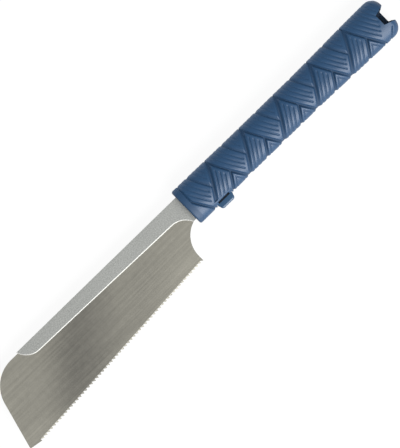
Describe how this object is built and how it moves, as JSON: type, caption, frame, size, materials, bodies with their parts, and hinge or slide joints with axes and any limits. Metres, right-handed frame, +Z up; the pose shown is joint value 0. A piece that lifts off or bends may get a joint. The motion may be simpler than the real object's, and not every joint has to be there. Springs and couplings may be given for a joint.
{
  "type": "flush cut saw",
  "caption": "Pull-stroke flush cut saw with a thin steel-backed blade that slides out of a hollow wrap-patterned grip when the button under it is pressed.",
  "frame": {"origin": "on the surface the saw lies on, under the middle of its outline", "axes": "+X along the grip from the blade's toe to the grip's butt, +Y to the back of the blade, +Z up, square to the blade"},
  "size_m": [0.3944, 0.0626, 0.022],
  "materials": {
    "blade_steel": "brushed",
    "spine_steel": "satin",
    "inner_steel": "zinc plated",
    "spring_steel": "blued",
    "grip_plastic": "satin moulded",
    "button_plastic": "satin moulded"
  },
  "bodies": {
    "handle": {"handle_shell_near": "grip_plastic", "handle_shell_far": "grip_plastic", "tang_sleeve": "inner_steel", "lock_spring": "spring_steel", "spring_rivets": "inner_steel", "sleeve_pins": "inner_steel"},
    "blade_unit": {"saw_blade": "blade_steel", "blade_spine": "spine_steel"},
    "release": {"release_button": "button_plastic"}
  },
  "joints": [
    {"name": "blade_slide", "type": "slide", "parent": "handle", "child": "blade_unit", "axis": [-1, 0, 0], "range_m": [0, 0.05], "deforming": ["lock_spring"]},
    {"name": "button_press", "type": "slide", "parent": "handle", "child": "release", "axis": [0, 1, 0], "range_m": [0, 0.0026], "stiffness_N_per_m": 2300, "springref_m": -0.0017, "deforming": ["lock_spring"]}
  ]
}
